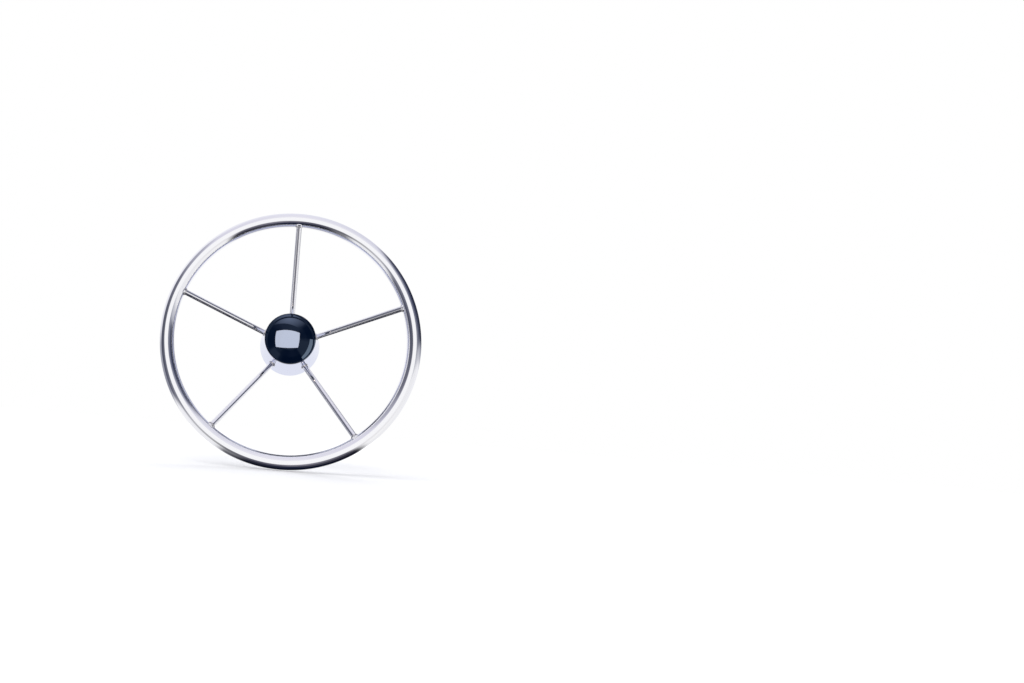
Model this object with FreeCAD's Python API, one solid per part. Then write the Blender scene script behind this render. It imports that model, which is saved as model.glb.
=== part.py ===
import FreeCAD, Part
import math
import os

# A stainless steering wheel for a boat's helm. All sizes are in millimetres and angles in degrees.
# The wheel stands upright: its axis lies along Y, the helmsman's side faces -Y and +Z is up.
# The origin is the middle of the hub's rear face, where the helm shaft comes in.

# The rim: a tube bent into a ring, with finger grips pressed into it round the back
rim_outside_diameter = 343.0
rim_tube_diameter = 19.05
grip_count = 42
grip_groove_width = 6.2
grip_press_depth = 1.9
grip_reach_angle = 75.0
grip_lean_angle = 35.0
grip_first_angle = 92.0

# The dish: how steeply the spokes lean, and where their centre lines meet ahead of the hub's rear face
spoke_dish_angle = 27.5
spokes_meet_setback = 1.14
spoke_count = 5
spoke_first_angle = 90.0
spoke_diameter = 8.0
rim_weld_diameter = 9.4
shroud_weld_diameter = 10.0
weld_length = 3.0
weld_gap = 0.1

# The cast hub: a boss with a web and five arms, bored for a tapered and keyed shaft
boss_diameter = 29.5
boss_length = 30.0
boss_edge_chamfer = 0.8
web_diameter = 47.6
web_thickness = 4.0
web_setback = 14.5
web_edge_radius = 1.2
arm_root_diameter = 14.0
arm_tip_diameter = 13.0
socket_depth = 18.0
socket_clearance = 0.1
pilot_diameter = 20.0
pilot_depth = 4.0
taper_large_diameter = 19.05
taper_per_length = 1.0 / 12.0
key_width = 4.76
key_depth = 2.4

# The shroud: a thin spun cone that covers the casting and carries the cap on its front edge
shroud_rear_diameter = 88.9
shroud_mouth_diameter = 66.0
shroud_wall = 1.2
shroud_front_setback = 49.5
shroud_rear_overhang = 2.3
shroud_hole_clearance = 0.15

# The moulded cap: a dome with a short band, and a skirt that slips inside the shroud's mouth
cap_diameter = 70.2
cap_band_height = 7.0
cap_dome_height = 14.0
cap_edge_radius = 1.2
cap_wall = 2.2
cap_skirt_length = 9.0
cap_skirt_wall = 1.6
cap_skirt_clearance = 0.35
cap_seat_gap = 0.2

# Radii and places that follow from the sizes above
tube_radius = rim_tube_diameter / 2
ring_radius = rim_outside_diameter / 2 - tube_radius
spoke_start_radius = ring_radius - tube_radius
spoke_lean = math.radians(spoke_dish_angle)
dish_depth = spokes_meet_setback + spoke_start_radius * math.tan(spoke_lean)
rim_plane = -dish_depth
shroud_front = -shroud_front_setback
shroud_rear_radius = shroud_rear_diameter / 2
shroud_mouth_radius = shroud_mouth_diameter / 2
shroud_length = shroud_front_setback + shroud_rear_overhang
shroud_slope = (shroud_rear_radius - shroud_wall - shroud_mouth_radius) / shroud_length
cap_seat = shroud_front - cap_seat_gap
arm_start_radius = pilot_diameter / 4

centre = FreeCAD.Vector(0, 0, 0)
wheel_axis = FreeCAD.Vector(0, 1, 0)


def outward(angle):
    """The direction from the wheel's axis towards its rim at an angle up from +X."""
    return FreeCAD.Vector(math.cos(math.radians(angle)), 0, math.sin(math.radians(angle)))


def turned(points):
    """A solid of revolution about the wheel's axis from (radius, y) corners."""
    corners = [FreeCAD.Vector(radius, y, 0) for radius, y in points]
    outline = Part.makePolygon(corners + corners[:1])
    return Part.Face(outline).revolve(centre, wheel_axis, 360)


def section_point(ring_angle, section_angle, radius):
    """A point of the tube's section, its angle measured from the way the grips face."""
    lean = math.radians(grip_lean_angle + section_angle)
    sideways = outward(ring_angle) * (ring_radius + radius * math.sin(lean))
    return sideways + wheel_axis * (rim_plane + radius * math.cos(lean))


def tube_section(ring_angle, press):
    """The tube's closed section: a round front and a back that is pressed in by some depth."""
    start = section_point(ring_angle, grip_reach_angle, tube_radius)
    end = section_point(ring_angle, -grip_reach_angle, tube_radius)
    pressed_back = section_point(ring_angle, 0, tube_radius - press)
    round_front = section_point(ring_angle, 180, tube_radius)
    back = Part.Arc(start, pressed_back, end).toShape()
    front = Part.Arc(end, round_front, start).toShape()
    return Part.Wire([back, front])


def make_rim():
    """The ring tube, skinned groove by groove with a plain round stretch after each."""
    pitch = 360.0 / grip_count
    groove_half = math.degrees(grip_groove_width / 2 / ring_radius)
    faces = []
    for number in range(grip_count):
        middle = grip_first_angle + number * pitch
        groove = [
            tube_section(middle - groove_half, 0),
            tube_section(middle, grip_press_depth),
            tube_section(middle + groove_half, 0),
        ]
        grip = groove[-1].revolve(centre, wheel_axis, 2 * groove_half - pitch)
        faces.extend(Part.makeLoft(groove, False, True).Faces + grip.Faces)
    return Part.makeSolid(Part.makeShell(faces))


def spoke_direction(angle):
    """Which way a spoke runs from the rim in to the hub."""
    return outward(angle) * -math.cos(spoke_lean) + wheel_axis * math.sin(spoke_lean)


def spoke_point(angle, radius):
    """The point of a spoke's centre line at some distance from the wheel's axis."""
    start = outward(angle) * spoke_start_radius + wheel_axis * rim_plane
    return start + spoke_direction(angle) * ((spoke_start_radius - radius) / math.cos(spoke_lean))


def rod_between(angle, outer_radius, inner_radius, diameter):
    """A round rod on a spoke's centre line between two distances from the wheel's axis."""
    start = spoke_point(angle, outer_radius)
    length = (spoke_point(angle, inner_radius) - start).Length
    return Part.makeCylinder(diameter / 2, length, start, spoke_direction(angle))


def shroud_radius_at(y, wall_out):
    """The shroud cone's radius at a height along the axis, wall_out outside its inner face."""
    return shroud_mouth_radius + (y - shroud_front) * shroud_slope + wall_out


def shroud_crossing(wall_out):
    """How far from the axis the spokes' centre lines meet the shroud cone."""
    where_spokes_meet = spoke_point(spoke_first_angle, 0).y
    return shroud_radius_at(where_spokes_meet, wall_out) / (1 + shroud_slope * math.tan(spoke_lean))


def cone_inside_shroud(wall_out):
    """The full cone within the shroud, wall_out outside its inner face."""
    front_radius = shroud_radius_at(shroud_front, wall_out)
    rear_radius = shroud_radius_at(shroud_rear_overhang, wall_out)
    corners = [(0, shroud_front), (front_radius, shroud_front)]
    corners += [(rear_radius, shroud_rear_overhang), (0, shroud_rear_overhang)]
    return turned(corners)


def weld_bead(angle, radius, direction, diameter):
    """A cone of weld round a spoke, full at some distance from the axis and fading along it."""
    fade = (diameter - spoke_diameter) / 2
    full = spoke_point(angle, radius)
    root = full - direction * weld_length
    return Part.makeCone(diameter / 2 + fade, spoke_diameter / 2, 2 * weld_length, root, direction)


def make_spoke(angle):
    """A solid rod from the rim into its arm of the casting, with its two weld beads."""
    inward = spoke_direction(angle)
    rod_end = shroud_crossing(-weld_gap) - (socket_depth - socket_clearance) * math.cos(spoke_lean)
    rod = rod_between(angle, ring_radius, rod_end, spoke_diameter)
    rim_bead = weld_bead(angle, spoke_start_radius, inward, rim_weld_diameter)
    shroud_bead = weld_bead(angle, shroud_crossing(shroud_wall), inward * -1, shroud_weld_diameter)
    shroud_bead = shroud_bead.cut(cone_inside_shroud(shroud_wall + weld_gap))
    tube = Part.makeTorus(ring_radius, tube_radius + weld_gap, wheel_axis * rim_plane, wheel_axis)
    coped = rod.fuse([rim_bead, shroud_bead]).cut(tube)
    return max(coped.Solids, key=lambda solid: solid.Volume)


def make_shroud():
    """The thin cone, open at both ends, with a hole for each spoke."""
    corners = [
        (shroud_radius_at(shroud_front, 0), shroud_front),
        (shroud_radius_at(shroud_front, shroud_wall), shroud_front),
        (shroud_radius_at(shroud_rear_overhang, shroud_wall), shroud_rear_overhang),
        (shroud_radius_at(shroud_rear_overhang, 0), shroud_rear_overhang),
    ]
    hole_diameter = spoke_diameter + 2 * shroud_hole_clearance
    holes = [
        rod_between(angle, shroud_rear_radius + spoke_diameter, 0, hole_diameter)
        for angle in spoke_angles()
    ]
    return turned(corners).cut(holes)


def make_arm(angle):
    """One cast arm along a spoke's line, drafted from its root within the bore to its tip."""
    root = spoke_point(angle, arm_start_radius)
    tip = spoke_point(angle, shroud_rear_radius)
    return Part.makeCone(
        arm_root_diameter / 2, arm_tip_diameter / 2, (tip - root).Length, root, spoke_direction(angle) * -1
    )


def make_socket(angle):
    """The blind hole in an arm that the spoke's end sits in."""
    bottom = shroud_crossing(-weld_gap) - socket_depth * math.cos(spoke_lean)
    return rod_between(angle, shroud_rear_radius, bottom, spoke_diameter + 2 * socket_clearance)


def make_boss():
    """The turned boss with the round web in front of the arms' roots."""
    boss_radius = boss_diameter / 2
    web_radius = web_diameter / 2
    web_front = -web_setback - web_thickness
    corners = [
        (0, 0),
        (boss_radius - boss_edge_chamfer, 0),
        (boss_radius, -boss_edge_chamfer),
        (boss_radius, -web_setback),
        (web_radius - web_edge_radius, -web_setback),
        (web_radius, -web_setback - web_edge_radius),
        (web_radius, web_front + web_edge_radius),
        (web_radius - web_edge_radius, web_front),
        (boss_radius, web_front),
        (boss_radius, -boss_length + boss_edge_chamfer),
        (boss_radius - boss_edge_chamfer, -boss_length),
        (0, -boss_length),
    ]
    return turned(corners)


def make_bore():
    """The shaft's hole: a short straight mouth, the taper and the keyway at the bottom."""
    large_radius = taper_large_diameter / 2
    taper_length = boss_length - pilot_depth
    small_radius = large_radius - taper_length * taper_per_length / 2
    pilot_radius = pilot_diameter / 2
    corners = [(0, 0), (pilot_radius, 0), (pilot_radius, -pilot_depth), (large_radius, -pilot_depth)]
    corners += [(small_radius, -boss_length), (0, -boss_length)]
    key_height = large_radius + key_depth
    corner = FreeCAD.Vector(-key_width / 2, -boss_length, -key_height)
    keyway = Part.makeBox(key_width, boss_length, key_height, corner)
    return turned(corners).fuse(keyway)


def make_casting():
    """The boss, web and five arms as one casting, trimmed to the shroud and bored."""
    arms = [make_arm(angle) for angle in spoke_angles()]
    room = cone_inside_shroud(-weld_gap)
    behind = Part.makeCylinder(shroud_rear_radius, boss_length, centre, wheel_axis)
    casting = make_boss().fuse(arms).cut(behind).common(room)
    sockets = [make_socket(angle) for angle in spoke_angles()]
    return casting.cut(sockets + [make_bore()])


def make_cap():
    """The cap's shell: dome, rounded shoulder, band and the skirt that finds the shroud's mouth."""
    rim = cap_diameter / 2
    band_front = cap_seat - cap_band_height
    apex = band_front - cap_dome_height
    dome_radius = (rim ** 2 + cap_dome_height ** 2) / (2 * cap_dome_height)
    skirt_radius = shroud_mouth_radius - cap_skirt_clearance
    inside_radius = skirt_radius - cap_skirt_wall
    skirt_end = cap_seat + cap_skirt_length

    def dome_point(radius, inset):
        depth = math.sqrt((dome_radius - inset) ** 2 - radius ** 2)
        return FreeCAD.Vector(radius, apex + dome_radius - depth, 0)

    edge_centre = dome_point(rim - cap_edge_radius, cap_edge_radius)
    from_dome = (edge_centre - FreeCAD.Vector(0, apex + dome_radius, 0)).normalize()
    sideways = FreeCAD.Vector(1, 0, 0)
    shoulder_start = edge_centre + from_dome * cap_edge_radius
    shoulder_middle = edge_centre + (from_dome + sideways).normalize() * cap_edge_radius
    shoulder_end = edge_centre + sideways * cap_edge_radius
    wall = Part.makePolygon([
        shoulder_end,
        FreeCAD.Vector(rim, cap_seat, 0),
        FreeCAD.Vector(skirt_radius, cap_seat, 0),
        FreeCAD.Vector(skirt_radius, skirt_end, 0),
        FreeCAD.Vector(inside_radius, skirt_end, 0),
        dome_point(inside_radius, cap_wall),
    ])
    outer = Part.Arc(dome_point(0, 0), dome_point(rim / 2, 0), shoulder_start).toShape()
    shoulder = Part.Arc(shoulder_start, shoulder_middle, shoulder_end).toShape()
    inner_middle = dome_point(inside_radius / 2, cap_wall)
    inner = Part.Arc(dome_point(inside_radius, cap_wall), inner_middle, dome_point(0, cap_wall)).toShape()
    crown = Part.makeLine(dome_point(0, cap_wall), dome_point(0, 0))
    profile = Part.Wire([outer, shoulder] + wall.Edges + [inner, crown])
    return Part.Face(profile).revolve(centre, wheel_axis, 360)


def spoke_angles():
    """The spokes' even spacing round the wheel, from the top one."""
    return [spoke_first_angle + number * 360.0 / spoke_count for number in range(spoke_count)]


os.makedirs("parts", exist_ok=True)
make_rim().exportStep("parts/rim.step")
make_casting().exportStep("parts/hub_casting.step")
make_shroud().exportStep("parts/hub_shroud.step")
make_cap().exportStep("parts/hub_cap.step")
for number, angle in enumerate(spoke_angles(), start=1):
    make_spoke(angle).exportStep(f"parts/spoke_{number}.step")
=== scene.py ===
import bmesh
import bpy
from math import atan2, cos, pi, radians, sin
from mathutils import Matrix, Vector


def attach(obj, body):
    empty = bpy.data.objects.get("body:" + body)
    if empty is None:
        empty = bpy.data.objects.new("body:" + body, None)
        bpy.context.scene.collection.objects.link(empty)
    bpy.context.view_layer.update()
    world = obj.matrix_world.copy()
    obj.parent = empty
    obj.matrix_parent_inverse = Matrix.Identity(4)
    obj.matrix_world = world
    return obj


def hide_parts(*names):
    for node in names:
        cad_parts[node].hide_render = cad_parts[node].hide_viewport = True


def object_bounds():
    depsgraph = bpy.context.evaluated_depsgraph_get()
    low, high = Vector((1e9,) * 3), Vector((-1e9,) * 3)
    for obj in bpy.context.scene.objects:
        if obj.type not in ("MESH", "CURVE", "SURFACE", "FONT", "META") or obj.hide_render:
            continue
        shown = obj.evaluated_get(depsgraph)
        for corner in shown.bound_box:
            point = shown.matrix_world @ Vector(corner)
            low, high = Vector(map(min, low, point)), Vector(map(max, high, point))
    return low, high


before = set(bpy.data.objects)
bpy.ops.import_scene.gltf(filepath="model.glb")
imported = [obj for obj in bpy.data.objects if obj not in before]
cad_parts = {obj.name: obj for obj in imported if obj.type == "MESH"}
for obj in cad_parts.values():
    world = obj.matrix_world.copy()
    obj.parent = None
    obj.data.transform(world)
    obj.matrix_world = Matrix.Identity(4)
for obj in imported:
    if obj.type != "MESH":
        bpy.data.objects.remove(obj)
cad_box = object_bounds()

# The view: the wheel hangs upright, well to the left in a wide frame, and is seen from a little
# below its hub, through a wide lens that is shifted sideways.
bpy.ops.object.select_all(action="DESELECT")
bpy.ops.object.camera_add(
    location=(0.0021, -0.6522, -0.1195),
    rotation=(radians(101.824), radians(-4.617), radians(0.051)),
)
catalogue_camera = bpy.context.object
catalogue_camera.name = "catalogue_camera"
catalogue_camera.data.sensor_width = 36
catalogue_camera.data.lens = 15.62
catalogue_camera.data.shift_x = 0.2223
catalogue_camera.data.shift_y = -0.0069
catalogue_camera.data.clip_start = 0.01
bpy.context.scene.camera = catalogue_camera
bpy.context.scene.view_settings.view_transform = "Standard"

# The studio: white all round for the eye, an even pale light for what is matt, and for polished
# metal a white room whose walls darken to the upper right, to the left and below. A wall's tone
# goes by its angle round the wheel's axis, with three sets of tones from the front to the back.
studio = bpy.data.worlds.new("studio")
bpy.context.scene.world = studio
studio.use_nodes = True
room = studio.node_tree
room.nodes.clear()
direction = room.nodes.new("ShaderNodeTexCoord").outputs["Generated"]
face_axis = room.nodes.new("ShaderNodeMapping")
face_axis.inputs["Rotation"].default_value = (radians(-90), 0, radians(180))
room.links.new(direction, face_axis.inputs["Vector"])
round_the_axis = room.nodes.new("ShaderNodeTexGradient")
round_the_axis.gradient_type = "RADIAL"
room.links.new(face_axis.outputs["Vector"], round_the_axis.inputs["Vector"])


def put_in(tree, value, socket):
    """Link an output to a socket, or set a plain value there."""
    if isinstance(value, bpy.types.NodeSocket):
        tree.links.new(value, socket)
    else:
        socket.default_value = value


def parts_of(tree, vector):
    """The X, Y and Z of a vector."""
    split = tree.nodes.new("ShaderNodeSeparateXYZ")
    tree.links.new(vector, split.inputs["Vector"])
    return split.outputs


def rescaled(tree, value, source, target):
    """A value taken from one range to another, and held at its ends."""
    scale = tree.nodes.new("ShaderNodeMapRange")
    for name, end in zip(("From Min", "From Max", "To Min", "To Max"), (*source, *target)):
        scale.inputs[name].default_value = end
    tree.links.new(value, scale.inputs["Value"])
    return scale.outputs["Result"]


def tone_ramp(tree, pattern, tones, easing="LINEAR"):
    """Tones that follow a pattern from 0 to 1, with a stop for each (place, tone) pair."""
    ramp = tree.nodes.new("ShaderNodeValToRGB")
    ramp.color_ramp.interpolation = easing
    stops = ramp.color_ramp.elements
    for place, tone in tones[1:-1]:
        stops.new(place).color = (*tone, 1)
    stops[0].position = tones[0][0]
    stops[0].color = (*tones[0][1], 1)
    stops[-1].position = tones[-1][0]
    stops[-1].color = (*tones[-1][1], 1)
    tree.links.new(pattern, ramp.inputs["Fac"])
    return ramp.outputs["Color"]


def blend(tree, share, without, within, kind="RGBA"):
    """A tone between two others by a share, or with the kind FLOAT a number."""
    mix = tree.nodes.new("ShaderNodeMix")
    mix.data_type = kind
    put_in(tree, share, mix.inputs["Factor"])
    put_in(tree, without, mix.inputs["A"])
    put_in(tree, within, mix.inputs["B"])
    return mix.outputs["Result"]


near_walls = tone_ramp(room, round_the_axis.outputs["Color"], [
    (0.000, (0.90, 0.90, 0.92)), (0.026, (0.54, 0.55, 0.60)), (0.048, (0.22, 0.23, 0.29)),
    (0.095, (0.16, 0.17, 0.24)), (0.130, (0.32, 0.33, 0.40)), (0.165, (0.78, 0.78, 0.86)),
    (0.250, (0.84, 0.83, 0.90)), (0.335, (0.72, 0.71, 0.81)), (0.368, (0.39, 0.39, 0.47)),
    (0.400, (0.16, 0.16, 0.21)), (0.450, (0.10, 0.105, 0.14)), (0.500, (0.13, 0.135, 0.18)),
    (0.555, (0.21, 0.215, 0.26)), (0.595, (0.50, 0.50, 0.53)), (0.635, (0.42, 0.42, 0.43)),
    (0.668, (0.15, 0.15, 0.17)), (0.715, (0.09, 0.09, 0.125)), (0.790, (0.20, 0.195, 0.24)),
    (0.855, (0.12, 0.115, 0.15)), (0.885, (0.86, 0.85, 0.86)), (1.000, (0.90, 0.90, 0.92)),
], "EASE")
side_walls = tone_ramp(room, round_the_axis.outputs["Color"], [
    (0.000, (0.88, 0.88, 0.90)), (0.022, (0.54, 0.55, 0.61)), (0.042, (0.085, 0.095, 0.14)),
    (0.085, (0.045, 0.053, 0.095)), (0.130, (0.10, 0.11, 0.17)), (0.163, (0.72, 0.72, 0.81)),
    (0.250, (0.80, 0.79, 0.88)), (0.332, (0.74, 0.73, 0.83)), (0.370, (0.41, 0.41, 0.49)),
    (0.412, (0.14, 0.145, 0.19)), (0.500, (0.07, 0.075, 0.11)), (0.556, (0.11, 0.115, 0.16)),
    (0.587, (0.88, 0.88, 0.91)), (0.648, (0.90, 0.90, 0.92)), (0.672, (0.21, 0.21, 0.23)),
    (0.705, (0.024, 0.025, 0.038)), (0.770, (0.018, 0.022, 0.045)), (0.800, (0.05, 0.05, 0.07)),
    (0.858, (0.034, 0.034, 0.048)), (0.882, (0.96, 0.96, 0.96)), (1.000, (0.88, 0.88, 0.90)),
], "EASE")
far_walls = tone_ramp(room, round_the_axis.outputs["Color"], [
    (0.000, (0.92, 0.92, 0.95)), (0.022, (0.39, 0.40, 0.46)), (0.040, (0.028, 0.032, 0.055)),
    (0.100, (0.014, 0.018, 0.042)), (0.138, (0.04, 0.045, 0.08)), (0.166, (0.70, 0.70, 0.80)),
    (0.250, (0.82, 0.82, 0.91)), (0.380, (0.92, 0.92, 0.97)), (0.465, (0.84, 0.84, 0.90)),
    (0.500, (0.41, 0.42, 0.48)), (0.553, (0.27, 0.28, 0.34)), (0.582, (0.94, 0.94, 0.96)),
    (0.648, (0.90, 0.90, 0.92)), (0.670, (0.12, 0.12, 0.14)), (0.702, (0.005, 0.007, 0.015)),
    (0.800, (0.002, 0.005, 0.017)), (0.860, (0.007, 0.008, 0.016)), (0.882, (0.90, 0.90, 0.91)),
    (1.000, (0.92, 0.92, 0.95)),
], "EASE")
front_to_back = rescaled(room, parts_of(room, direction)["Y"], (-1, 1), (0, 1))
side_share = tone_ramp(room, front_to_back, [
    (0.00, (0, 0, 0)), (0.18, (0, 0, 0)), (0.24, (1, 1, 1)), (1.00, (1, 1, 1)),
], "EASE")
far_share = tone_ramp(room, front_to_back, [
    (0.00, (0, 0, 0)), (0.38, (0, 0, 0)), (0.48, (1, 1, 1)), (1.00, (1, 1, 1)),
], "EASE")
wall_share = tone_ramp(room, front_to_back, [
    (0.045, (0, 0, 0)), (0.090, (1, 1, 1)), (0.80, (1, 1, 1)),
    (0.88, (0.4, 0.4, 0.4)), (0.925, (0, 0, 0)),
], "EASE")
white_ends = (0.99, 0.99, 1.0, 1)
front_walls = blend(room, side_share, near_walls, side_walls)
walls = blend(room, far_share, front_walls, far_walls)
room_tone = blend(room, wall_share, white_ends, walls)
seen_by = room.nodes.new("ShaderNodeLightPath")
for_polish = room.nodes.new("ShaderNodeBackground")
room.links.new(room_tone, for_polish.inputs["Color"])
for_matt = room.nodes.new("ShaderNodeBackground")
for_matt.inputs["Color"].default_value = (0.93, 0.94, 1.0, 1)
for_matt.inputs["Strength"].default_value = 0.7
for_eye = room.nodes.new("ShaderNodeBackground")
for_eye.inputs["Color"].default_value = (1, 1, 1, 1)
polish_or_matt = room.nodes.new("ShaderNodeMixShader")
room.links.new(seen_by.outputs["Is Glossy Ray"], polish_or_matt.inputs["Fac"])
room.links.new(for_matt.outputs["Background"], polish_or_matt.inputs[1])
room.links.new(for_polish.outputs["Background"], polish_or_matt.inputs[2])
eye_or_rest = room.nodes.new("ShaderNodeMixShader")
room.links.new(seen_by.outputs["Is Camera Ray"], eye_or_rest.inputs["Fac"])
room.links.new(polish_or_matt.outputs["Shader"], eye_or_rest.inputs[1])
room.links.new(for_eye.outputs["Background"], eye_or_rest.inputs[2])
studio_output = room.nodes.new("ShaderNodeOutputWorld")
room.links.new(eye_or_rest.outputs["Shader"], studio_output.inputs["Surface"])

# The floor: a pale matt sheet just under the rim, which takes the wheel's soft shadow and
# pales to white further off. Polished metal sees the room past it.
floor_drop = 0.0005
bpy.ops.object.select_all(action="DESELECT")
bpy.ops.mesh.primitive_plane_add(size=12, location=(0, 0, 0))
floor = bpy.context.object
floor.name = "floor"
floor.data.transform(Matrix.Translation((0, 0, cad_box[0].z - floor_drop)))


def new_finish(name):
    """A new material, its node tree and its shader."""
    finish = bpy.data.materials.new(name)
    finish.use_nodes = True
    return finish, finish.node_tree, finish.node_tree.nodes["Principled BSDF"]


def own_place(tree):
    """Places on a piece, in its own coordinates."""
    return tree.nodes.new("ShaderNodeTexCoord").outputs["Object"]


def length_of(tree, vector):
    """How long a vector is."""
    length = tree.nodes.new("ShaderNodeVectorMath")
    length.operation = "LENGTH"
    tree.links.new(vector, length.inputs[0])
    return length.outputs["Value"]


def arithmetic(tree, operation, *values):
    """One step of arithmetic on outputs or numbers."""
    step = tree.nodes.new("ShaderNodeMath")
    step.operation = operation
    for value, socket in zip(values, step.inputs):
        put_in(tree, value, socket)
    return step.outputs["Value"]


floor_paper, paper_tree, paper = new_finish("floor_paper")
paper.inputs["Base Color"].default_value = (0.9, 0.9, 0.9, 1)
paper.inputs["Roughness"].default_value = 0.9
paper.inputs["Specular IOR Level"].default_value = 0
paper.inputs["Emission Color"].default_value = (1, 1, 1, 1)
paper_distance = length_of(paper_tree, own_place(paper_tree))
paper_lift = rescaled(paper_tree, paper_distance, (0.2, 0.9), (0.12, 0.6))
eye_on_floor = paper_tree.nodes.new("ShaderNodeLightPath").outputs["Is Camera Ray"]
lift_for_eye = arithmetic(paper_tree, "MULTIPLY", eye_on_floor, paper_lift)
put_in(paper_tree, lift_for_eye, paper.inputs["Emission Strength"])
floor.data.materials.append(floor_paper)
floor.visible_glossy = False

# The lamps: one broad soft key from the upper left in front, and a weak fill from the right behind.
# Neither lamp itself shows in the polished steel.
bpy.ops.object.select_all(action="DESELECT")
bpy.ops.object.light_add(
    type="AREA", location=(-0.9, -1.1, 1.3), rotation=(radians(45), 0, radians(-38)),
)
key_lamp = bpy.context.object
key_lamp.name = "key_lamp"
key_lamp.data.size = 1.2
key_lamp.data.energy = 14
key_lamp.visible_glossy = False
bpy.ops.object.light_add(
    type="AREA", location=(0.8, 1.2, 0.9), rotation=(radians(-52), 0, radians(-34)),
)
fill_lamp = bpy.context.object
fill_lamp.name = "fill_lamp"
fill_lamp.data.size = 1.2
fill_lamp.data.energy = 8
fill_lamp.visible_glossy = False

# The rim: a stainless tube bent to a ring, its ends butt welded, then mirror polished. Finger grips
# are pressed round its back and outside: narrow grooves with a smooth barrel of tube between them.
# One grip is pressed into a short stretch of tube, which is then spun round the ring.
ring_radius = 0.161975
tube_radius = 0.009525
rim_plane = -0.0805
grip_count = 42
first_groove = 92
press_lean = radians(33)
press_edge = tube_radius * cos(radians(75))
pressed_share = 0.731
grip_pitch = 2 * pi / grip_count
turn_tolerance = 0.0005
grip_profile = [
    (0, 1), (0.0009, 0.86), (0.0018, 0.5), (0.0027, 0.22), (0.0036, 0.1), (0.0052, 0.04), (0.008, 0.01),
    (0.012115, 0),
]
bpy.ops.object.select_all(action="DESELECT")
bpy.ops.mesh.primitive_circle_add(vertices=64, radius=tube_radius, location=(ring_radius, rim_plane, 0))
rim = bpy.context.object
rim.name = "grip_rim"
bpy.ops.object.transform_apply(location=True)


def press_ring(turn, share):
    """Press the selected ring of the tube in from behind, at its turn round the wheel."""
    section = Matrix.Rotation(turn, 3, "Y") @ Matrix.Rotation(-press_lean, 3, "Z")
    middle = Matrix.Rotation(turn, 3, "Y") @ Vector((ring_radius, rim_plane, 0))
    press_way = section @ Vector((0, 1, 0))
    cross_way = section @ Vector((1, 0, 0))
    along_way = section @ Vector((0, 0, 1))
    mesh = bmesh.from_edit_mesh(rim.data)
    for vertex in mesh.verts:
        if vertex.select and (vertex.co - middle).dot(press_way) <= press_edge:
            vertex.select = False
    mesh.select_flush_mode()
    bmesh.update_edit_mesh(rim.data)
    squeeze = 1 - (1 - pressed_share) * share
    bpy.ops.transform.resize(
        value=(1, squeeze, 1),
        orient_type="GLOBAL",
        orient_matrix=(cross_way, press_way, along_way),
        orient_matrix_type="GLOBAL",
        center_override=middle + press_way * press_edge,
    )


bpy.ops.object.mode_set(mode="EDIT")
bpy.ops.mesh.select_mode(type="VERT")
bpy.ops.mesh.select_all(action="SELECT")
turns = [distance / ring_radius for distance, share in grip_profile]
shares = [share for distance, share in grip_profile]
turns += [grip_pitch - turn for turn in reversed(turns[:-1])]
shares += list(reversed(shares[:-1]))
for turn, last_turn in zip(turns[1:], turns):
    bpy.ops.mesh.spin(steps=1, angle=turn - last_turn, center=(0, rim_plane, 0), axis=(0, 1, 0))
bpy.ops.mesh.select_all(action="DESELECT")
for turn, share in zip(turns, shares):
    mesh = bmesh.from_edit_mesh(rim.data)
    for vertex in mesh.verts:
        vertex.select = abs(atan2(vertex.co.z, vertex.co.x) - turn) < turn_tolerance
    mesh.select_flush_mode()
    bmesh.update_edit_mesh(rim.data)
    press_ring(-turn, share)
bpy.ops.mesh.select_all(action="SELECT")
bpy.ops.mesh.spin(
    steps=grip_count - 1, dupli=True, angle=grip_pitch * (grip_count - 1),
    center=(0, rim_plane, 0), axis=(0, -1, 0),
)
bpy.ops.mesh.select_all(action="SELECT")
bpy.ops.mesh.remove_doubles(threshold=0.00002)
bpy.ops.mesh.normals_make_consistent(inside=False)
bpy.ops.object.mode_set(mode="OBJECT")
rim.data.transform(Matrix.Rotation(radians(-first_groove), 4, "Y"))
bpy.ops.object.shade_smooth()


def grain(tree, scale, detail):
    """Fine noise over a piece, in its own coordinates."""
    noise = tree.nodes.new("ShaderNodeTexNoise")
    noise.inputs["Scale"].default_value = scale
    noise.inputs["Detail"].default_value = detail
    tree.links.new(own_place(tree), noise.inputs["Vector"])
    return noise.outputs["Fac"]


def roughen(tree, pattern, smoothest, roughest):
    """Let a pattern set how rough a finish is."""
    roughness = rescaled(tree, pattern, (0, 1), (smoothest, roughest))
    put_in(tree, roughness, tree.nodes["Principled BSDF"].inputs["Roughness"])


def raise_skin(tree, pattern, strength, depth):
    """Let a pattern raise and lower the skin of a finish."""
    bump = tree.nodes.new("ShaderNodeBump")
    bump.inputs["Strength"].default_value = strength
    bump.inputs["Distance"].default_value = depth
    tree.links.new(pattern, bump.inputs["Height"])
    put_in(tree, bump.outputs["Normal"], tree.nodes["Principled BSDF"].inputs["Normal"])


polished_tube, tube_tree, tube_steel = new_finish("polished_tube")
tube_steel.inputs["Base Color"].default_value = (0.93, 0.93, 0.95, 1)
tube_steel.inputs["Metallic"].default_value = 1
buffing = grain(tube_tree, scale=40, detail=1)
roughen(tube_tree, buffing, 0.05, 0.12)
raise_skin(tube_tree, buffing, strength=0.05, depth=0.001)
rim.data.materials.append(polished_tube)
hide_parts("rim")
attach(rim, "wheel")

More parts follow.
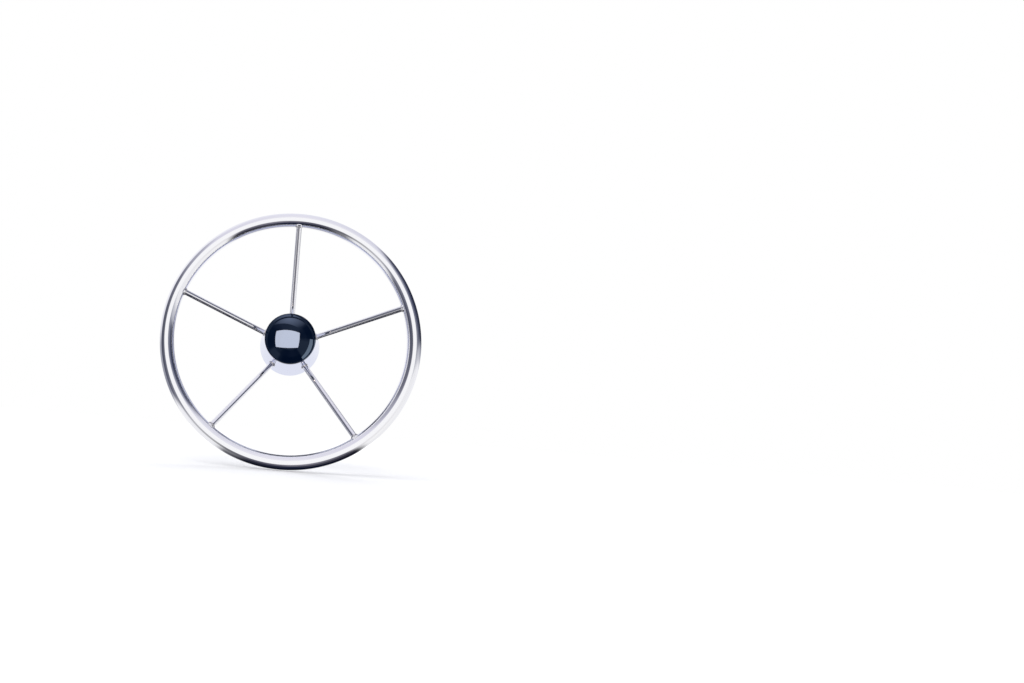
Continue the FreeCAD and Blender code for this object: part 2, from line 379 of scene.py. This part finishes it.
# The spokes: five solid rods of the same steel, drawn straight and polished along their length.
# One is made and copied round the wheel; its hub end sits in an arm of the casting, and its other
# end flares a little where it is welded to the tube.
dish = radians(27.5)
arms_meet = Vector((0, -0.00114, 0))
spoke_line = Vector((cos(dish), -sin(dish), 0))
spoke_count = 5
spoke_pitch = 360 / spoke_count
top_spoke_angle = 90
hub_end_along = 0.0295
hub_end_radius = 0.0035
spoke_profile = [(0.0005, 0.004), (0.140, 0.004), (0.1425, 0.00415), (0.1443, 0.0045), (0.1456, 0.0052)]


def at_spoke(number, way):
    """A direction given as for a spoke along +X, turned to a spoke's own place. Spoke 1 is the top one."""
    return Matrix.Rotation(-radians(top_spoke_angle + spoke_pitch * (number - 1)), 3, "Y") @ way


top_line = at_spoke(1, spoke_line)
hub_end = arms_meet + top_line * hub_end_along
bpy.ops.object.select_all(action="DESELECT")
bpy.ops.mesh.primitive_circle_add(
    vertices=48, radius=hub_end_radius, fill_type="NGON", location=hub_end,
    rotation=top_line.to_track_quat("Z", "Y").to_euler(),
)
bpy.ops.object.transform_apply(location=True, rotation=True)
bpy.ops.object.mode_set(mode="EDIT")
bpy.ops.mesh.select_all(action="SELECT")
reached = 0
last_radius = hub_end_radius
for along, radius in spoke_profile:
    bpy.ops.mesh.extrude_region_move(TRANSFORM_OT_translate={"value": top_line * (along - reached)})
    bpy.ops.transform.resize(value=(radius / last_radius,) * 3, center_override=hub_end + top_line * along)
    reached = along
    last_radius = radius
bpy.ops.mesh.select_all(action="SELECT")
bpy.ops.mesh.normals_make_consistent(inside=False)
bpy.ops.object.mode_set(mode="OBJECT")
bpy.ops.object.shade_smooth_by_angle(angle=radians(40))
spokes = [bpy.context.object]
for number in range(2, spoke_count + 1):
    bpy.ops.object.duplicate()
    bpy.context.object.data.transform(Matrix.Rotation(-radians(spoke_pitch), 4, "Y"))
    spokes.append(bpy.context.object)
polished_rod, rod_tree, rod_steel = new_finish("polished_rod")
rod_steel.inputs["Base Color"].default_value = (0.92, 0.92, 0.94, 1)
rod_steel.inputs["Metallic"].default_value = 1
roughen(rod_tree, grain(rod_tree, scale=260, detail=3), 0.10, 0.20)
for number, spoke in enumerate(spokes, start=1):
    spoke.name = f"spoke_rod_{number}"
    spoke.data.materials.append(polished_rod)
    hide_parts(f"spoke_{number}")
    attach(spoke, "wheel")

# The shroud: thin spun steel, mirror bright with a bluish sheen outside, and inside left as the
# spinning tool leaves it, dull with fine rings, with painted shade that darkens it to near black just
# behind the cap's seat. Its form is the model's own, and only its finish is set here.
shroud_mouth = -0.0495
mouth_wall_middle = 0.0334
shroud_slope = 0.19788
painted_shade_reach = (-0.0485, -0.041)
spun_shroud, shroud_tree, shroud_steel = new_finish("spun_shroud")
shroud_place = parts_of(shroud_tree, own_place(shroud_tree))
across = shroud_tree.nodes.new("ShaderNodeCombineXYZ")
put_in(shroud_tree, shroud_place["X"], across.inputs["X"])
put_in(shroud_tree, shroud_place["Z"], across.inputs["Z"])
from_axis = length_of(shroud_tree, across.outputs["Vector"])
axis_wall_middle = mouth_wall_middle - shroud_mouth * shroud_slope
wall_middle = arithmetic(shroud_tree, "MULTIPLY_ADD", shroud_place["Y"], shroud_slope, axis_wall_middle)
outside = arithmetic(shroud_tree, "GREATER_THAN", from_axis, wall_middle)
inside = arithmetic(shroud_tree, "SUBTRACT", 1.0, outside)
rings = shroud_tree.nodes.new("ShaderNodeTexNoise")
rings.noise_dimensions = "1D"
rings.inputs["Scale"].default_value = 900
rings.inputs["Detail"].default_value = 4
put_in(shroud_tree, shroud_place["Y"], rings.inputs["W"])
smears = grain(shroud_tree, scale=55, detail=5)
# Painted shade: the inside wall is darkened to near black just behind the cap's seat, where the cap's
# skirt shades it.
clear_of_painted_shade = rescaled(shroud_tree, shroud_place["Y"], painted_shade_reach, (0.08, 1))
dull_grey = blend(shroud_tree, smears, (0.40, 0.395, 0.43, 1), (0.62, 0.61, 0.66, 1))
inside_tone = blend(shroud_tree, clear_of_painted_shade, (0.01, 0.01, 0.012, 1), dull_grey)
wall_tone = blend(shroud_tree, outside, inside_tone, (0.68, 0.71, 0.86, 1))
put_in(shroud_tree, wall_tone, shroud_steel.inputs["Base Color"])
dull_roughness = rescaled(shroud_tree, rings.outputs["Fac"], (0, 1), (0.42, 0.67))
bright_roughness = rescaled(shroud_tree, smears, (0, 1), (0.05, 0.11))
wall_roughness = blend(shroud_tree, outside, dull_roughness, bright_roughness, "FLOAT")
put_in(shroud_tree, wall_roughness, shroud_steel.inputs["Roughness"])
wall_metal = rescaled(shroud_tree, outside, (0, 1), (0.4, 1))
put_in(shroud_tree, wall_metal, shroud_steel.inputs["Metallic"])
ring_height = arithmetic(shroud_tree, "MULTIPLY", rings.outputs["Fac"], inside)
raise_skin(shroud_tree, ring_height, strength=0.35, depth=0.0003)
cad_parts["hub_shroud"].material_slots[0].material = spun_shroud

# The casting: boss, web and five arms poured in one piece of stainless steel, so its corners are
# soft and its skin is matt and pitted. Its two faces, the arms' ends, the bore with its keyway and
# the sockets for the spokes are machined afterwards.
boss_length = 0.030
boss_radius = 0.01475
machining_allowance = 0.001
web_middle = -0.0165
web_thickness = 0.0042
web_radius = 0.0239
arm_middle = 0.027
arm_length = 0.045
arm_root_radius = 0.00705
arm_tip_radius = 0.0065
rear_reach = 0.0426962
taper_rear_radius = 0.009525
taper_per_side = 1 / 24
taper_middle = -0.0180
taper_length = 0.0282
bore_mouth_radius = 0.010
bore_mouth_middle = -0.0019
bore_mouth_length = 0.0042
key_width = 0.00476
key_reach = 0.0119
socket_radius = 0.0041
socket_middle = 0.0405
socket_length = 0.021
base_to_rear = (radians(90), 0, 0)
bpy.ops.object.select_all(action="DESELECT")
bpy.ops.mesh.primitive_cylinder_add(
    vertices=96, radius=boss_radius, depth=boss_length + 2 * machining_allowance,
    location=(0, -boss_length / 2, 0), rotation=base_to_rear,
)
casting = bpy.context.object
casting.name = "hub_cast"
bpy.ops.mesh.primitive_cylinder_add(
    vertices=96, radius=web_radius, depth=web_thickness,
    location=(0, web_middle, 0), rotation=base_to_rear,
)
cast_pieces = [casting, bpy.context.object]
for number in range(1, spoke_count + 1):
    arm_line = at_spoke(number, spoke_line)
    bpy.ops.mesh.primitive_cone_add(
        vertices=64, radius1=arm_root_radius, radius2=arm_tip_radius, depth=arm_length,
        location=arms_meet + arm_line * arm_middle,
        rotation=arm_line.to_track_quat("Z", "Y").to_euler(),
    )
    cast_pieces.append(bpy.context.object)
bpy.ops.object.select_all(action="DESELECT")
for piece in cast_pieces:
    piece.select_set(True)
bpy.context.view_layer.objects.active = casting
bpy.ops.object.transform_apply(location=True, rotation=True, scale=True)
bpy.ops.object.join()
poured = casting.modifiers.new("poured", "REMESH")
poured.mode = "VOXEL"
poured.voxel_size = 0.0006
bpy.ops.object.modifier_apply(modifier="poured")
softened = casting.modifiers.new("softened", "SMOOTH")
softened.factor = 0.5
softened.iterations = 9
bpy.ops.object.modifier_apply(modifier="softened")


def machine(operation):
    """Cut the casting with the tool that was just added, and put the tool away."""
    tool = bpy.context.object
    bpy.ops.object.select_all(action="DESELECT")
    casting.select_set(True)
    bpy.context.view_layer.objects.active = casting
    cut = casting.modifiers.new("cut", "BOOLEAN")
    cut.operation = operation
    cut.solver = "EXACT"
    cut.object = tool
    bpy.ops.object.modifier_apply(modifier="cut")
    bpy.data.objects.remove(tool)


bpy.ops.object.select_all(action="DESELECT")
bpy.ops.mesh.primitive_cone_add(
    vertices=192, radius1=rear_reach, radius2=rear_reach - boss_length * shroud_slope,
    depth=boss_length, location=(0, -boss_length / 2, 0), rotation=base_to_rear,
)
machine("INTERSECT")
bpy.ops.mesh.primitive_cone_add(
    vertices=96, radius1=taper_rear_radius, radius2=taper_rear_radius - taper_length * taper_per_side,
    depth=taper_length, location=(0, taper_middle, 0), rotation=base_to_rear,
)
machine("DIFFERENCE")
bpy.ops.mesh.primitive_cylinder_add(
    vertices=96, radius=bore_mouth_radius, depth=bore_mouth_length,
    location=(0, bore_mouth_middle, 0), rotation=base_to_rear,
)
machine("DIFFERENCE")
bpy.ops.mesh.primitive_cube_add(
    size=1, scale=(key_width, boss_length + 4 * machining_allowance, key_reach),
    location=(0, -boss_length / 2, -key_reach / 2),
)
machine("DIFFERENCE")
for number in range(1, spoke_count + 1):
    arm_line = at_spoke(number, spoke_line)
    bpy.ops.mesh.primitive_cylinder_add(
        vertices=48, radius=socket_radius, depth=socket_length,
        location=arms_meet + arm_line * socket_middle,
        rotation=arm_line.to_track_quat("Z", "Y").to_euler(),
    )
    machine("DIFFERENCE")
bpy.ops.object.mode_set(mode="EDIT")
bpy.ops.mesh.select_all(action="SELECT")
bpy.ops.mesh.remove_doubles(threshold=0.00001)
bpy.ops.mesh.dissolve_degenerate(threshold=0.00001)
bpy.ops.object.mode_set(mode="OBJECT")
bpy.ops.object.shade_smooth_by_angle(angle=radians(35))
rear_face = -0.00005
cast_stainless, cast_tree, cast_steel = new_finish("cast_stainless")
cast_steel.inputs["Metallic"].default_value = 0.25
sand_grain = grain(cast_tree, scale=900, detail=6)
cast_stains = grain(cast_tree, scale=260, detail=6)
pits = cast_tree.nodes.new("ShaderNodeTexVoronoi")
pits.inputs["Scale"].default_value = 420
put_in(cast_tree, own_place(cast_tree), pits.inputs["Vector"])
pit_depth = rescaled(cast_tree, pits.outputs["Distance"], (0, 0.22), (0, 1))
skin_tone = tone_ramp(cast_tree, cast_stains, [(0.3, (0.48, 0.48, 0.48)), (0.68, (0.74, 0.74, 0.73))])
cast_depth = parts_of(cast_tree, own_place(cast_tree))["Y"]
on_rear_face = arithmetic(cast_tree, "GREATER_THAN", cast_depth, rear_face)
faced_tone = blend(cast_tree, on_rear_face, skin_tone, (0.72, 0.72, 0.73, 1))
put_in(cast_tree, faced_tone, cast_steel.inputs["Base Color"])
roughen(cast_tree, sand_grain, 0.45, 0.75)
pitted_height = arithmetic(cast_tree, "MULTIPLY", sand_grain, pit_depth)
raise_skin(cast_tree, pitted_height, strength=0.7, depth=0.0006)
casting.data.materials.append(cast_stainless)
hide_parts("hub_casting")
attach(casting, "wheel")

# The welds: a small rippled bead round each spoke where it meets the tube and the shroud, and one
# inside the shroud round the end of each arm, left as the torch laid them.
shroud_square = Vector((0.981, -0.194, 0))
ripple_share = 0.15
weld_steel, weld_tree, weld_metal = new_finish("weld_steel")
weld_metal.inputs["Metallic"].default_value = 1
heat = grain(weld_tree, scale=450, detail=3)
heat_tint = tone_ramp(weld_tree, heat, [(0.35, (0.55, 0.53, 0.52)), (0.65, (0.86, 0.85, 0.86))])
put_in(weld_tree, heat_tint, weld_metal.inputs["Base Color"])
roughen(weld_tree, heat, 0.12, 0.4)
raise_skin(weld_tree, heat, strength=0.4, depth=0.0004)


def weld_bead(name, number, along, ring, thickness, square):
    """A bead round a spoke's line, some way along it, laid square to a direction given as for +X."""
    bpy.ops.object.select_all(action="DESELECT")
    bpy.ops.mesh.primitive_torus_add(
        location=arms_meet + at_spoke(number, spoke_line) * along,
        rotation=at_spoke(number, square).to_track_quat("Z", "Y").to_euler(),
        major_segments=72, minor_segments=16, major_radius=ring, minor_radius=thickness,
    )
    bead = bpy.context.object
    bead.name = f"{name}_{number}"
    bpy.ops.object.transform_apply(location=True, rotation=True)
    bpy.ops.object.mode_set(mode="EDIT")
    bpy.ops.mesh.select_all(action="SELECT")
    bpy.ops.transform.vertex_random(offset=thickness * ripple_share, normal=1, seed=number)
    bpy.ops.mesh.vertices_smooth(factor=0.5, repeat=2)
    bpy.ops.object.mode_set(mode="OBJECT")
    bpy.ops.object.shade_smooth()
    bead.data.materials.append(weld_steel)
    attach(bead, "wheel")


for number in range(1, spoke_count + 1):
    weld_bead("rim_weld", number, along=0.1722, ring=0.0043, thickness=0.0008, square=spoke_line)
    weld_bead("shroud_weld", number, along=0.0449, ring=0.0044, thickness=0.0009, square=shroud_square)
    weld_bead("arm_weld", number, along=0.0431, ring=0.0068, thickness=0.0009, square=shroud_square)

# The cap: moulded glossy plastic, nearly black with a blue cast that is partly its own tint and partly
# a faint painted blue glow: a dome with a rounded shoulder, a short band and a narrower skirt that
# slips inside the shroud's mouth. It is pulled off by hand.
dome_radius = 0.051
dome_middle = -0.0197
dome_foot = -0.0567
band_height = 0.0070
skirt_share = 0.93
skirt_length = 0.0090
cap_wall = 0.0020
rounded_beyond = 0.0349
level_tolerance = 0.00001
bpy.ops.object.select_all(action="DESELECT")
bpy.ops.mesh.primitive_uv_sphere_add(
    segments=128, ring_count=120, radius=dome_radius,
    location=(0, dome_middle, 0), rotation=(radians(90), 0, 0),
)
cap = bpy.context.object
cap.name = "domed_cap"
bpy.ops.object.transform_apply(location=True, rotation=True)
bpy.ops.object.mode_set(mode="EDIT")
bpy.ops.mesh.select_all(action="SELECT")
bpy.ops.mesh.bisect(plane_co=(0, dome_foot, 0), plane_no=(0, 1, 0), clear_outer=True)
bpy.ops.mesh.extrude_edges_move(TRANSFORM_OT_translate={"value": (0, band_height, 0)})
bpy.ops.mesh.extrude_edges_move(TRANSFORM_OT_translate={"value": (0, 0, 0)})
bpy.ops.transform.resize(
    value=(skirt_share, 1, skirt_share), center_override=(0, dome_foot + band_height, 0),
)
bpy.ops.mesh.extrude_edges_move(TRANSFORM_OT_translate={"value": (0, skirt_length, 0)})
bpy.ops.mesh.select_all(action="SELECT")
bpy.ops.mesh.normals_make_consistent(inside=False)
bpy.ops.object.mode_set(mode="OBJECT")
moulding = cap.modifiers.new("moulding", "SOLIDIFY")
moulding.thickness = cap_wall
moulding.offset = -1
moulding.use_even_offset = True
bpy.ops.object.modifier_apply(modifier="moulding")
bpy.ops.object.mode_set(mode="EDIT")
bpy.ops.mesh.select_all(action="DESELECT")
mesh = bmesh.from_edit_mesh(cap.data)
for edge in mesh.edges:
    if all(Vector((vertex.co.x, vertex.co.z)).length > rounded_beyond for vertex in edge.verts):
        edge.select = abs(edge.verts[0].co.y - edge.verts[1].co.y) < level_tolerance
bmesh.update_edit_mesh(cap.data)
bpy.ops.mesh.bevel(offset=0.0005, segments=4)
bpy.ops.object.mode_set(mode="OBJECT")
bpy.ops.object.shade_smooth_by_angle(angle=radians(35))
black_plastic, plastic_tree, plastic = new_finish("black_plastic")
plastic.inputs["Base Color"].default_value = (0.0135, 0.0185, 0.027, 1)
plastic.inputs["Metallic"].default_value = 1
plastic.inputs["Specular Tint"].default_value = (0.5, 0.5, 0.5, 1)
# Painted glow: a faint blue emission lifts the plastic's dark reflections towards navy, though the cap is
# no lamp.
plastic.inputs["Emission Color"].default_value = (0.06, 0.27, 1, 1)
plastic.inputs["Emission Strength"].default_value = 0.014
handling = grain(plastic_tree, scale=60, detail=2)
roughen(plastic_tree, handling, 0.02, 0.05)
raise_skin(plastic_tree, handling, strength=0.01, depth=0.0002)
cap.data.materials.append(black_plastic)
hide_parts("hub_cap")
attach(cap, "cap")

# The panels for the cap: it is the one dark curved mirror of the wheel, so three soft panels stand
# off in front for it alone: a broad window, a strip over it and a screen to its lower right.
panel_distance = 0.8
cap_middle = Vector((0, -0.065, 0))
cap_alone = bpy.data.collections.new("cap_alone")
cap_alone.objects.link(cap)


def cap_panel(name, way, width, height, spread, glow):
    """A soft panel that only the cap sees, off in one direction, dimmer to its sides."""
    facing = Vector(way).normalized()
    bpy.ops.object.select_all(action="DESELECT")
    bpy.ops.object.light_add(
        type="AREA", location=cap_middle + facing * panel_distance,
        rotation=facing.to_track_quat("Z", "Y").to_euler(),
    )
    panel = bpy.context.object
    panel.name = name
    panel.data.shape = "RECTANGLE"
    panel.data.size = width
    panel.data.size_y = height
    panel.data.spread = radians(spread)
    panel.data.energy = max(glow) * pi * width * height
    panel.data.color = [tone / max(glow) for tone in glow]
    panel.visible_camera = False
    panel.light_linking.receiver_collection = cap_alone


cap_panel(
    "window_panel", way=(-0.165, -0.985, 0.045), width=1.30, height=0.88, spread=180, glow=(36, 28.6, 24),
)
cap_panel(
    "strip_panel", way=(-0.10, -0.25, 0.963), width=1.4, height=0.61, spread=80, glow=(1.1, 1.0, 1.03),
)
cap_panel(
    "screen_panel", way=(0.945, -0.083, -0.317), width=0.62, height=0.92, spread=180, glow=(7.5, 7.1, 6.4),
)
